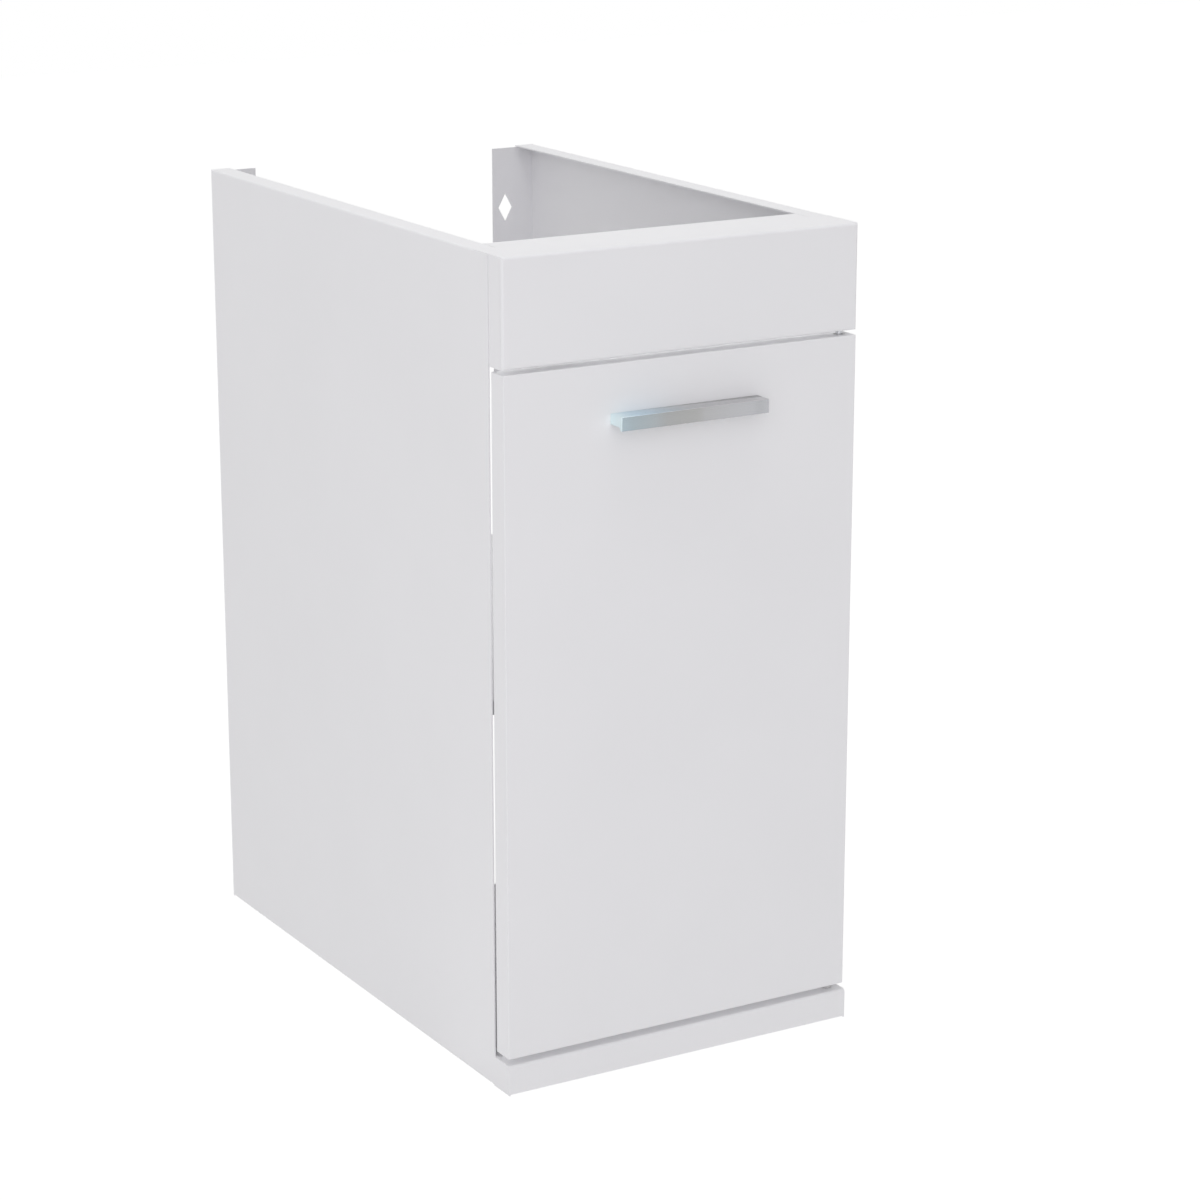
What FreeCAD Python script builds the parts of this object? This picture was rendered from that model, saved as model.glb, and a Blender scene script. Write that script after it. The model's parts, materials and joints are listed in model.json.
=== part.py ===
"""Wall-hung washbasin cabinet: folded sheet-steel carcass, fixed fascia and one side-hung door.

Units are millimetres. +Z is up, the door faces -Y and the wall is on the +Y side.
The origin is the centre of the footprint, on the plane of the bottom edges.
Fore-and-aft places are counted from the seam plane, where the fascia meets the side
panels: negative values are in front of it, positive values run back to the wall.
"""
import FreeCAD, Part
import math
import os

from FreeCAD import Vector

# ---------------------------------------------------------------- driving dimensions
WIDTH = 300.0
HEIGHT = 627.0
CARCASS_DEPTH = 469.0           # seam plane to the wall
SHEET = 1.0                     # carcass sheet thickness
BEND = 1.5                      # outer radius of an ordinary fold

TOP_RETURN = 17.0               # inward strip along the top of a side panel
TOP_RETURN_START = 20.0         # the strip starts this far behind the seam plane
BOTTOM_RETURN = 17.0
REAR_FLANGE = 39.5
REAR_FLANGE_DROP = 1.5          # the flange stops this far below the top
HANGING_HOLE_INSET = 27.4       # centre of the hanging hole to the outer face
HANGING_HOLE_HEIGHT = 574.6
HANGING_HOLE_WIDTH = 13.2
HANGING_HOLE_TALL = 24.0

FASCIA_BOTTOM = 547.0
FASCIA_REACH = 20.1             # front face ahead of the seam plane
FASCIA_RADIUS = 2.2
FASCIA_SHELF = 40.0             # the top plate runs this far behind the seam plane
FASCIA_FLOOR = 16.0             # the bottom plate runs this far behind the seam plane
FASCIA_LIP = 12.0
END_CAP_FRONT = 18.0            # the end cap starts this far ahead of the seam plane
SEAM = 1.2                      # open joint between the fascia and the side panels
SIDE_FIT = 0.3                  # clearance between the top plate and the top returns

DOOR_BOTTOM = 28.1
DOOR_TOP = 543.5
DOOR_REACH = 20.6
DOOR_THICKNESS = 18.5
DOOR_INSET = 0.7                # door edge to the outer face of the side
DOOR_RADIUS = 0.8

RAIL_HEIGHT = 23.5
RAIL_REACH = 22.6
RAIL_RADIUS = 2.5
BOTTOM_DEPTH = 324.0            # the floor stops here and leaves the back open for pipes

SHELF_TOP = 294.5
SHELF_FRONT = 18.0
SHELF_BACK = 446.0
SHELF_LIP = 11.0
SHELF_SIDE_GAP = 1.0

HANDLE_LENGTH = 125.0
HANDLE_DEPTH = 16.0
HANDLE_TOP = 507.3
HANDLE_FRONT_TALL = 10.4
HANDLE_REAR_TALL = 8.0
HANDLE_LIP = 2.4                # thickness of the front lip below the body
HANDLE_SCREW_SPACING = 106.5

HANDLE_THREAD_RADIUS = 2.0
HANDLE_THREAD_DEPTH = 8.0

PIVOT_INSET = 10.0              # pivot axis to the outer face
PIVOT_RADIUS = 2.5
PIVOT_REACH = 12.0              # how far each pivot goes into the door
RUNNING_CLEARANCE = 0.05
BUSH_RADIUS = 4.5
BUSH_LENGTH = 14.0
PIVOT_PLATE_LENGTH = 20.0
PIVOT_PLATE_DEPTH = 13.0
PIVOT_PLATE_THICKNESS = 2.0
PIVOT_PLATE_GAP = 1.5           # plate's end to the inside of the sheet

# head radius, head height, rounding, driver recess radius, driver recess depth
FASCIA_SCREW_HEAD = (4.8, 3.2, 1.2, 1.4, 1.8)
HANDLE_SCREW_HEAD = (3.9, 2.6, 1.0, 1.3, 1.4)
CATCH_SCREW_HEAD = (3.2, 2.2, 0.9, 0.9, 1.2)
FASCIA_SCREW_RADIUS = 2.5
FASCIA_SCREW_LENGTH = 9.0

CATCH_X = -98.0
CATCH_BACK_OFF = 8.0            # middle of the catch behind the seam plane
CATCH_LENGTH = 46.0
CATCH_TALL = 12.0
CATCH_EAR_TALL = 4.0
CATCH_SCREW_RADIUS = 1.7
CATCH_SCREW_SPACING = 34.0
POLE_THICKNESS = 1.5
POLE_GAP = 0.3                  # air between the poles and the strike plate

STRIKE_LENGTH = 38.0
STRIKE_TALL = 11.0
STRIKE_THICKNESS = 1.5
STRIKE_DROP = 9.5               # middle of the strike plate below the fascia
STRIKE_SCREW_SPACING = 26.0

# ---------------------------------------------------------------- derived places
HALF = WIDTH / 2
HANDLE_REACH = DOOR_REACH + HANDLE_DEPTH
BACK = (CARCASS_DEPTH + HANDLE_REACH) / 2
SEAM_Y = BACK - CARCASS_DEPTH
DOOR_FRONT = SEAM_Y - DOOR_REACH
DOOR_REAR = DOOR_FRONT + DOOR_THICKNESS
RAIL_FRONT = SEAM_Y - RAIL_REACH
FASCIA_FRONT = SEAM_Y - FASCIA_REACH
PIVOT_X = HALF - PIVOT_INSET
PIVOT_Y = (DOOR_FRONT + DOOR_REAR) / 2
CATCH_Y = SEAM_Y + CATCH_BACK_OFF
STRIKE_Z = FASCIA_BOTTOM - STRIKE_DROP
HANDLE_SCREW_Z = HANDLE_TOP - HANDLE_REAR_TALL / 2
EXTRA = 1.0                     # how far a cutting tool overshoots the material
TOUCHING = 1e-4                 # places closer than this are the same


# ---------------------------------------------------------------- helpers
def box(x0, x1, y0, y1, z0, z1):
    """Axis-aligned block between two corners."""
    return Part.makeBox(x1 - x0, y1 - y0, z1 - z0, Vector(x0, y0, z0))


def rod(radius, start, end):
    """Round bar from one point to another."""
    start, end = Vector(*start), Vector(*end)
    along = end - start
    return Part.makeCylinder(radius, along.Length, start, along)


def prism(points, sweep):
    """Solid swept from a closed polygon of 3-D points."""
    corners = [Vector(*point) for point in points]
    return Part.Face(Part.makePolygon(corners + corners[:1])).extrude(Vector(*sweep))


def fuse(solids):
    """One clean solid out of several that touch or overlap."""
    return solids[0].multiFuse(solids[1:]).removeSplitter()


def mirrored(shape):
    """The same piece for the other side of the cabinet."""
    return shape.mirror(Vector(0, 0, 0), Vector(1, 0, 0))


def rounded(shape, radius, wanted, along=None):
    """Round the edges whose ends all satisfy wanted(point), or only those parallel to one axis."""
    edges = []
    for edge in shape.Edges:
        ends = [vertex.Point for vertex in edge.Vertexes]
        parallel = along is None or near(abs((ends[0] - ends[-1]).dot(along)), edge.Length)
        if parallel and all(wanted(point) for point in ends):
            edges.append(edge)
    return shape.makeFillet(radius, edges)


def near(value, target):
    return abs(value - target) < TOUCHING


def folded(path, bend, place, sweep, thickness=SHEET):
    """Sheet folded along a path of right-angled corners, seen in section.

    path holds (u, v) corners of the face on the path's right-hand side, place turns
    (u, v) into a 3-D point and sweep is the vector that the section runs along.
    The sheet's thickness lies to the left of the path.
    """
    near_side, far_side = [], []
    for index, corner in enumerate(path):
        here = Vector(*corner, 0)
        if index in (0, len(path) - 1):
            ahead = Vector(*path[min(index + 1, len(path) - 1)], 0) - Vector(*path[max(index - 1, 0)], 0)
            ahead.normalize()
            left = Vector(-ahead.y, ahead.x, 0)
            near_side.append([here])
            far_side.append([here + left * thickness])
            continue
        before = (here - Vector(*path[index - 1], 0)).normalize()
        after = (Vector(*path[index + 1], 0) - here).normalize()
        turns_left = before.cross(after).z > 0
        radius = bend if turns_left else bend - thickness
        inward = (after - before).normalize()
        centre = here + (after - before) * radius
        other = bend - thickness if turns_left else bend
        near_side.append([centre - after * radius, centre - inward * radius, centre + before * radius])
        far_side.append([centre - after * other, centre - inward * other, centre + before * other])

    def outline(corners):
        edges, last = [], None
        for corner in corners:
            if last is not None:
                edges.append(Part.makeLine(place(last), place(corner[0])))
            if len(corner) == 3:
                edges.append(Part.Arc(*[place(point) for point in corner]).toShape())
            last = corner[-1]
        return edges

    back_again = [corner[::-1] for corner in far_side[::-1]]
    caps = [Part.makeLine(place(near_side[-1][-1]), place(back_again[0][0])),
            Part.makeLine(place(back_again[-1][-1]), place(near_side[0][0]))]
    wire = Part.Wire(Part.__sortEdges__(outline(near_side) + outline(back_again) + caps))
    return Part.Face(wire).extrude(Vector(*sweep))


def pair(spacing, middle=0.0):
    """Two places, half the spacing each side of the middle."""
    return [middle - spacing / 2, middle + spacing / 2]


def pan_screw(seat, outward, head, shank_radius, shank_length):
    """Pan-head screw: its head stands outward from the seat and its shank runs the other way."""
    head_radius, head_tall, rounding, recess_radius, recess_depth = head
    seat, outward = Vector(*seat), Vector(*outward)
    crown = seat + outward * head_tall
    screw = fuse([rod(shank_radius, seat - outward * shank_length, seat), rod(head_radius, seat, crown)])
    screw = rounded(screw, rounding, lambda p: near((p - crown).dot(outward), 0))
    return screw.cut(rod(recess_radius, crown - outward * recess_depth, crown + outward * EXTRA))


def save(node, shape):
    if not shape.isValid():
        raise ValueError(node + " is not a valid shape")
    shape.exportStep(os.path.join("parts", node + ".step"))


# ---------------------------------------------------------------- carcass
def fascia_tab_holes(y0, y1):
    """Clearance holes for the screws that hold the fascia on one side panel."""
    hole_radius = 2.7
    left_places = fascia_screw_places()[:2]
    return fuse([rod(hole_radius, (x, y0 - EXTRA, z), (x, y1 + EXTRA, z)) for x, z in left_places])


def fascia_screw_places():
    inset, low, high = 11.0, 566.0, 608.0
    return [(side * (HALF - inset), z) for side in (-1, 1) for z in (low, high)]


def side_panel():
    """Left side: web, top and bottom returns, rear flange, fascia tab and foot."""
    outer = -HALF
    inner = outer + SHEET
    strip_y = SEAM_Y + TOP_RETURN_START
    fold_y = BACK - BEND
    channel = folded([(outer + TOP_RETURN, HEIGHT), (outer, HEIGHT), (outer, 0), (outer + BOTTOM_RETURN, 0)],
                     BEND, lambda p: Vector(p.x, strip_y, p.y), (0, fold_y - strip_y, 0))
    front_web = folded([(outer, HEIGHT - SHEET), (outer, 0), (outer + BOTTOM_RETURN, 0)],
                       BEND, lambda p: Vector(p.x, SEAM_Y, p.y), (0, TOP_RETURN_START, 0))
    rear = folded([(outer + REAR_FLANGE, BACK), (outer, BACK), (outer, fold_y - BEND)],
                  BEND, lambda p: Vector(p.x, p.y, 0), (0, 0, HEIGHT - REAR_FLANGE_DROP))
    corner_radius = BEND - SHEET / 10       # just inside the flange's own rounding
    strip_end = rounded(box(outer, outer + TOP_RETURN, fold_y, BACK, HEIGHT - SHEET, HEIGHT), corner_radius,
                        lambda p: near(p.x, outer) and near(p.y, BACK), Vector(0, 0, 1))
    floor_end = box(outer + BEND, outer + BOTTOM_RETURN, fold_y, BACK - SHEET, 0, SHEET)
    foot = rounded(box(outer, inner, RAIL_FRONT, SEAM_Y + EXTRA, 0, RAIL_HEIGHT), RAIL_RADIUS,
                   lambda p: near(p.y, RAIL_FRONT) and near(p.z, RAIL_HEIGHT), Vector(1, 0, 0))
    tab_width, tab_low, tab_high = 20.0, 549.5, 625.0
    tab = box(inner, outer + tab_width, SEAM_Y, SEAM_Y + SHEET, tab_low, tab_high)
    panel = fuse([channel, front_web, rear, strip_end, floor_end, foot, tab])
    panel = panel.cut(hanging_hole()).cut(fascia_tab_holes(SEAM_Y, SEAM_Y + SHEET))
    return panel.removeSplitter()


def hanging_hole():
    """Diamond-shaped hole in the rear flange, which hangs on a wall screw."""
    x = -HALF + HANGING_HOLE_INSET
    half_width, half_tall = HANGING_HOLE_WIDTH / 2, HANGING_HOLE_TALL / 2
    y = BACK - SHEET - EXTRA
    corners = [(x - half_width, y, HANGING_HOLE_HEIGHT), (x, y, HANGING_HOLE_HEIGHT + half_tall),
               (x + half_width, y, HANGING_HOLE_HEIGHT), (x, y, HANGING_HOLE_HEIGHT - half_tall)]
    return prism(corners, (0, SHEET + 2 * EXTRA, 0))


def bottom_panel():
    """Floor with its front rail, rear lip and the side lips that are welded to the sides."""
    half = HALF - SHEET
    rail_return, rear_tall, lip_tall = 16.0, 20.0, 12.0
    rear_y = SEAM_Y + BOTTOM_DEPTH
    floor = folded([(RAIL_FRONT + rail_return, 0), (RAIL_FRONT, 0), (RAIL_FRONT, RAIL_HEIGHT),
                    (rear_y, RAIL_HEIGHT), (rear_y, RAIL_HEIGHT - rear_tall)][::-1],
                   RAIL_RADIUS, lambda p: Vector(-half, p.x, p.y), (2 * half, 0, 0))
    lip = box(-half, -half + SHEET, SEAM_Y, rear_y - RAIL_RADIUS,
              RAIL_HEIGHT - lip_tall, RAIL_HEIGHT - SHEET / 2)
    panel = fuse([floor, lip, mirrored(lip)])
    pin_hole = rod(PIVOT_RADIUS, (PIVOT_X, PIVOT_Y, RAIL_HEIGHT - SHEET - EXTRA),
                   (PIVOT_X, PIVOT_Y, RAIL_HEIGHT + EXTRA))
    return panel.cut(pin_hole).removeSplitter()


def fascia_cover():
    """Front, rounded edges, top plate and bottom plate, folded from one sheet."""
    edge_radius = FASCIA_RADIUS - SHEET
    strip_y = SEAM_Y + TOP_RETURN_START
    shelf_y = SEAM_Y + FASCIA_SHELF
    floor_y = SEAM_Y + FASCIA_FLOOR

    def shell(inset, radius, y1):
        """Block with all its front edges rounded."""
        front = FASCIA_FRONT + inset
        block = box(-HALF + inset, HALF - inset, front, y1, FASCIA_BOTTOM + inset, HEIGHT - inset)
        return rounded(block, radius, lambda p: near(p.y, front))

    cover = shell(0, FASCIA_RADIUS, strip_y).cut(shell(SHEET, edge_radius, strip_y + EXTRA))
    cap_place = box(-HALF - EXTRA, -HALF + SHEET, SEAM_Y - END_CAP_FRONT, strip_y + EXTRA,
                    FASCIA_BOTTOM + SHEET, HEIGHT - SHEET)
    behind_seam = box(-HALF - EXTRA, -HALF + SHEET, SEAM_Y - SEAM, strip_y + EXTRA,
                      FASCIA_BOTTOM - EXTRA, HEIGHT - SHEET)
    for opening in (cap_place, behind_seam):
        cover = cover.cut(opening).cut(mirrored(opening))
    cover = cover.cut(box(-HALF, HALF, floor_y, strip_y + EXTRA, FASCIA_BOTTOM - EXTRA, HEIGHT - SHEET))
    half_shelf = HALF - TOP_RETURN - SIDE_FIT
    shelf = folded([(strip_y, HEIGHT), (shelf_y, HEIGHT), (shelf_y, HEIGHT - FASCIA_LIP)][::-1],
                   BEND, lambda p: Vector(-half_shelf, p.x, p.y), (2 * half_shelf, 0, 0))
    cover = fuse([cover, shelf])
    pivot_play = 0.2
    holes = [(PIVOT_RADIUS + pivot_play, PIVOT_X, PIVOT_Y)]
    holes += [(CATCH_SCREW_RADIUS, x, CATCH_Y) for x in pair(CATCH_SCREW_SPACING, CATCH_X)]
    for radius, x, y in holes:
        cover = cover.cut(rod(radius, (x, y, FASCIA_BOTTOM - EXTRA), (x, y, FASCIA_BOTTOM + SHEET + EXTRA)))
    return cover.removeSplitter()


def fascia_end():
    """Left end cap of the fascia, lapped by the angle that is screwed to the side panel."""
    outer, inner = -HALF, -HALF + SHEET
    flange_width, lap_depth, play = 20.0, 6.0, 0.2
    front = SEAM_Y - END_CAP_FRONT + play
    low, high = FASCIA_BOTTOM + SHEET, HEIGHT - SHEET
    web = box(outer, inner, front, SEAM_Y - SEAM, low, high)
    lap = box(inner, inner + SHEET, SEAM_Y - lap_depth, SEAM_Y, low, high)
    flange = box(inner, outer + flange_width, SEAM_Y - SHEET, SEAM_Y, low, high)
    return fuse([web, lap, flange]).cut(fascia_tab_holes(SEAM_Y - SHEET, SEAM_Y))


def fascia_screws():
    """Four pan-head screws driven forwards from inside the cabinet."""
    head_y = SEAM_Y + SHEET
    screws = []
    for x, z in fascia_screw_places():
        screws.append(pan_screw((x, head_y, z), (0, 1, 0), FASCIA_SCREW_HEAD, FASCIA_SCREW_RADIUS,
                                FASCIA_SCREW_LENGTH))
    return Part.makeCompound(screws)


def fascia_nuts():
    """Four hexagon nuts in front of the end-cap flanges."""
    across, tall, bore = 4.6, 4.0, FASCIA_SCREW_RADIUS      # centre to corner, height, bore radius
    front = SEAM_Y - SHEET - tall
    nuts = []
    for x, z in fascia_screw_places():
        angles = [math.radians(60 * corner) for corner in range(6)]
        corners = [(x + across * math.cos(angle), front, z + across * math.sin(angle)) for angle in angles]
        nuts.append(prism(corners, (0, tall, 0)).cut(rod(bore, (x, front - EXTRA, z), (x, SEAM_Y, z))))
    return Part.makeCompound(nuts)


def shelf():
    """Tray-shaped steel shelf with its four edges turned down."""
    half = HALF - SHEET - SHELF_SIDE_GAP
    front, back = SEAM_Y + SHELF_FRONT, SEAM_Y + SHELF_BACK
    low = SHELF_TOP - SHELF_LIP

    def block(inset, radius, bottom):
        solid = box(-half + inset, half - inset, front + inset, back - inset, bottom, SHELF_TOP - inset)
        return rounded(solid, radius, lambda p: near(p.z, SHELF_TOP - inset))

    return block(0, BEND, low).cut(block(SHEET, BEND - SHEET, low - EXTRA))


def shelf_brackets():
    """Four small angles welded inside the sides, which carry the shelf."""
    leg, length, tall, gauge, end_margin = 15.0, 30.0, 22.0, 1.2, 42.0
    top = SHELF_TOP - SHELF_LIP
    wall = -HALF + SHEET
    brackets = []
    for y0 in (SEAM_Y + SHELF_FRONT + end_margin, SEAM_Y + SHELF_BACK - end_margin - length):
        left = folded([(wall + leg, top), (wall, top), (wall, top - tall)],
                      BEND, lambda p: Vector(p.x, y0, p.y), (0, length, 0), gauge)
        brackets += [left, mirrored(left)]
    return Part.makeCompound(brackets)


# ---------------------------------------------------------------- door pivots
def pivot_rod(radius, z0, z1):
    """Round bar on the door's axis."""
    return rod(radius, (PIVOT_X, PIVOT_Y, z0), (PIVOT_X, PIVOT_Y, z1))


def pivot_plate(z0):
    outer_x = HALF - SHEET - PIVOT_PLATE_GAP
    half_depth = PIVOT_PLATE_DEPTH / 2
    z1 = z0 + PIVOT_PLATE_THICKNESS
    plate = box(outer_x - PIVOT_PLATE_LENGTH, outer_x, PIVOT_Y - half_depth, PIVOT_Y + half_depth, z0, z1)
    return plate.cut(pivot_rod(PIVOT_RADIUS, z0 - EXTRA, z1 + EXTRA))


def top_pivot_plate():
    """Stiffening plate inside the fascia floor, which the upper pivot screws into."""
    return pivot_plate(FASCIA_BOTTOM + SHEET)


def bottom_pivot_plate():
    """Stiffening plate under the front of the floor, which holds the lower pivot pin."""
    return pivot_plate(RAIL_HEIGHT - SHEET - PIVOT_PLATE_THICKNESS)


def top_pivot_screw():
    """Shoulder screw that goes down through the fascia floor into the door's upper bush."""
    head_radius, head_tall, slot_width, slot_depth, tip_chamfer = 4.5, 4.0, 1.2, 1.6, 0.8
    seat = FASCIA_BOTTOM + SHEET + PIVOT_PLATE_THICKNESS
    tip, crown = DOOR_TOP - PIVOT_REACH, seat + head_tall
    screw = fuse([pivot_rod(PIVOT_RADIUS, tip, seat), pivot_rod(head_radius, seat, crown)])
    screw = screw.makeChamfer(tip_chamfer, [edge for edge in screw.Edges if near(edge.BoundBox.ZMax, tip)])
    return screw.cut(box(PIVOT_X - head_radius, PIVOT_X + head_radius, PIVOT_Y - slot_width / 2,
                         PIVOT_Y + slot_width / 2, crown - slot_depth, crown + EXTRA))


def bottom_pivot_pin():
    """Riveted pin that carries the door."""
    rivet_radius, rivet_tall, tip_chamfer = 4.0, 1.5, 0.8
    seat = RAIL_HEIGHT - SHEET - PIVOT_PLATE_THICKNESS
    tip = DOOR_BOTTOM + PIVOT_REACH
    pin = fuse([pivot_rod(rivet_radius, seat - rivet_tall, seat), pivot_rod(PIVOT_RADIUS, seat, tip)])
    return pin.makeChamfer(tip_chamfer, [edge for edge in pin.Edges if near(edge.BoundBox.ZMin, tip)])


def pivot_washer():
    """Thick nylon washer on the lower pin, which holds the door off the rail."""
    washer_radius, lift, rounding = 4.0, 0.2, 0.5
    top = DOOR_BOTTOM - lift
    ring = rounded(pivot_rod(washer_radius, RAIL_HEIGHT, top), rounding, lambda p: near(p.z, top))
    return ring.cut(pivot_rod(PIVOT_RADIUS, RAIL_HEIGHT - EXTRA, top + EXTRA))


def door_bush(z0, z1):
    """Plain nylon bush, flush with the door's edge."""
    bore = pivot_rod(PIVOT_RADIUS + RUNNING_CLEARANCE, z0 - EXTRA, z1 + EXTRA)
    return pivot_rod(BUSH_RADIUS, z0, z1).cut(bore)


# ---------------------------------------------------------------- magnetic catch
def catch_pocket():
    """Rectangular opening in the catch body that takes the magnet and its two poles."""
    half_width, front, rear, low, high = 10.0, 6.0, 6.0, 11.0, 3.0
    return (CATCH_X - half_width, CATCH_X + half_width, CATCH_Y - front, CATCH_Y + rear,
            FASCIA_BOTTOM - low, FASCIA_BOTTOM - high)


def catch_body():
    """Moulded housing under the fascia floor, with a rounded ear each side for its screws."""
    core_half, core_front, core_rear, core_rounding = 12.0, 6.5, 7.5, 1.0
    ear_half, ear_rounding = 5.0, 3.0
    core_low = FASCIA_BOTTOM - CATCH_TALL
    core = box(CATCH_X - core_half, CATCH_X + core_half, CATCH_Y - core_front, CATCH_Y + core_rear,
               core_low, FASCIA_BOTTOM)
    core = rounded(core, core_rounding, lambda p: near(p.z, core_low))
    x0, x1 = pair(CATCH_LENGTH, CATCH_X)
    ears = box(x0, x1, CATCH_Y - ear_half, CATCH_Y + ear_half, FASCIA_BOTTOM - CATCH_EAR_TALL, FASCIA_BOTTOM)
    ears = rounded(ears, ear_rounding, lambda p: near(abs(p.x - CATCH_X), CATCH_LENGTH / 2), Vector(0, 0, 1))
    px0, px1, py0, py1, pz0, pz1 = catch_pocket()
    body = fuse([core, ears]).cut(box(px0, px1, py0 - EXTRA, py1, pz0, pz1))
    for x in pair(CATCH_SCREW_SPACING, CATCH_X):
        body = body.cut(rod(CATCH_SCREW_RADIUS, (x, CATCH_Y, core_low - EXTRA),
                            (x, CATCH_Y, FASCIA_BOTTOM + EXTRA)))
    return body


def catch_poles():
    """Two steel pole plates, one each side of the magnet, which reach out to the strike plate."""
    px0, px1, _, py1, pz0, pz1 = catch_pocket()
    front = DOOR_REAR + STRIKE_THICKNESS + POLE_GAP
    return Part.makeCompound([box(px0, px1, front, py1, z, z + POLE_THICKNESS)
                              for z in (pz0, pz1 - POLE_THICKNESS)])


def catch_magnet():
    px0, px1, py0, py1, pz0, pz1 = catch_pocket()
    return box(px0, px1, py0, py1, pz0 + POLE_THICKNESS, pz1 - POLE_THICKNESS)


def catch_screws():
    """Two pan-head screws driven up through the ears into the fascia floor."""
    shank_length = 9.0
    seat = FASCIA_BOTTOM - CATCH_EAR_TALL
    return Part.makeCompound([pan_screw((x, CATCH_Y, seat), (0, 0, -1), CATCH_SCREW_HEAD, CATCH_SCREW_RADIUS,
                                        shank_length) for x in pair(CATCH_SCREW_SPACING, CATCH_X)])


# ---------------------------------------------------------------- door
def strike_screw(x):
    """Countersunk wood screw, flush with the strike plate, without its driver slot."""
    head_radius, shank_radius, shank_length = 3.0, 1.5, 11.0
    face = DOOR_REAR + STRIKE_THICKNESS
    head = Part.makeCone(head_radius, shank_radius, STRIKE_THICKNESS, Vector(x, face, STRIKE_Z),
                         Vector(0, -1, 0))
    shank = rod(shank_radius, (x, DOOR_REAR, STRIKE_Z), (x, DOOR_REAR - shank_length, STRIKE_Z))
    return fuse([head, shank])


def strike_screws():
    slot_long, slot_wide, slot_depth = 4.0, 0.8, 0.8
    face = DOOR_REAR + STRIKE_THICKNESS
    screws = []
    for x in pair(STRIKE_SCREW_SPACING, CATCH_X):
        slot = box(x - slot_long / 2, x + slot_long / 2, face - slot_depth, face + EXTRA,
                   STRIKE_Z - slot_wide / 2, STRIKE_Z + slot_wide / 2)
        screws.append(strike_screw(x).cut(slot))
    return Part.makeCompound(screws)


def strike_plate():
    """Steel plate on the back of the door, opposite the catch."""
    corner_radius = 1.5
    x0, x1 = pair(STRIKE_LENGTH, CATCH_X)
    z0, z1 = pair(STRIKE_TALL, STRIKE_Z)
    plate = rounded(box(x0, x1, DOOR_REAR, DOOR_REAR + STRIKE_THICKNESS, z0, z1), corner_radius,
                    lambda p: True, Vector(0, 1, 0))
    for x in pair(STRIKE_SCREW_SPACING, CATCH_X):
        plate = plate.cut(strike_screw(x))
    return plate


def door_panel():
    """Lacquered board, bored for the bushes, the handle screws and the strike screws."""
    clearance_radius = 2.3
    half = HALF - DOOR_INSET
    panel = box(-half, half, DOOR_FRONT, DOOR_REAR, DOOR_BOTTOM, DOOR_TOP)
    panel = panel.makeFillet(DOOR_RADIUS, panel.Edges)
    panel = panel.cut(pivot_rod(BUSH_RADIUS, DOOR_BOTTOM - EXTRA, DOOR_BOTTOM + BUSH_LENGTH))
    panel = panel.cut(pivot_rod(BUSH_RADIUS, DOOR_TOP - BUSH_LENGTH, DOOR_TOP + EXTRA))
    for x in pair(HANDLE_SCREW_SPACING):
        panel = panel.cut(rod(clearance_radius, (x, DOOR_FRONT - EXTRA, HANDLE_SCREW_Z),
                              (x, DOOR_REAR + EXTRA, HANDLE_SCREW_Z)))
    for x in pair(STRIKE_SCREW_SPACING, CATCH_X):
        panel = panel.cut(strike_screw(x))
    return panel


def handle():
    """Solid bar with a front lip that hangs lower than the rest, for the fingers."""
    front_rounding = 0.5
    top, front, rear = HANDLE_TOP, DOOR_FRONT - HANDLE_DEPTH, DOOR_FRONT
    low, lip_low = top - HANDLE_REAR_TALL, top - HANDLE_FRONT_TALL
    scoop = low - lip_low
    lip_y = front + HANDLE_LIP
    x = -HANDLE_LENGTH / 2
    halfway = scoop * (1 - math.sqrt(0.5))
    scoop_arc = Part.Arc(Vector(x, lip_y, lip_low), Vector(x, lip_y + halfway, low - halfway),
                         Vector(x, lip_y + scoop, low)).toShape()
    corners = [Vector(x, y, z) for y, z in ((lip_y + scoop, low), (rear, low), (rear, top), (front, top),
                                            (front, lip_low), (lip_y, lip_low))]
    lines = [Part.makeLine(start, end) for start, end in zip(corners, corners[1:])]
    bar = Part.Face(Part.Wire(Part.__sortEdges__([scoop_arc] + lines))).extrude(Vector(HANDLE_LENGTH, 0, 0))
    bar = rounded(bar, front_rounding, lambda p: near(p.y, front))
    for x in pair(HANDLE_SCREW_SPACING):
        bar = bar.cut(rod(HANDLE_THREAD_RADIUS, (x, rear + EXTRA, HANDLE_SCREW_Z),
                          (x, rear - HANDLE_THREAD_DEPTH, HANDLE_SCREW_Z)))
    return bar


def handle_screws():
    """Two machine screws from the back of the door into the handle."""
    spare_thread = 0.5
    length = DOOR_THICKNESS + HANDLE_THREAD_DEPTH - spare_thread
    return Part.makeCompound([pan_screw((x, DOOR_REAR, HANDLE_SCREW_Z), (0, 1, 0), HANDLE_SCREW_HEAD,
                                        HANDLE_THREAD_RADIUS, length) for x in pair(HANDLE_SCREW_SPACING)])


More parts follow.
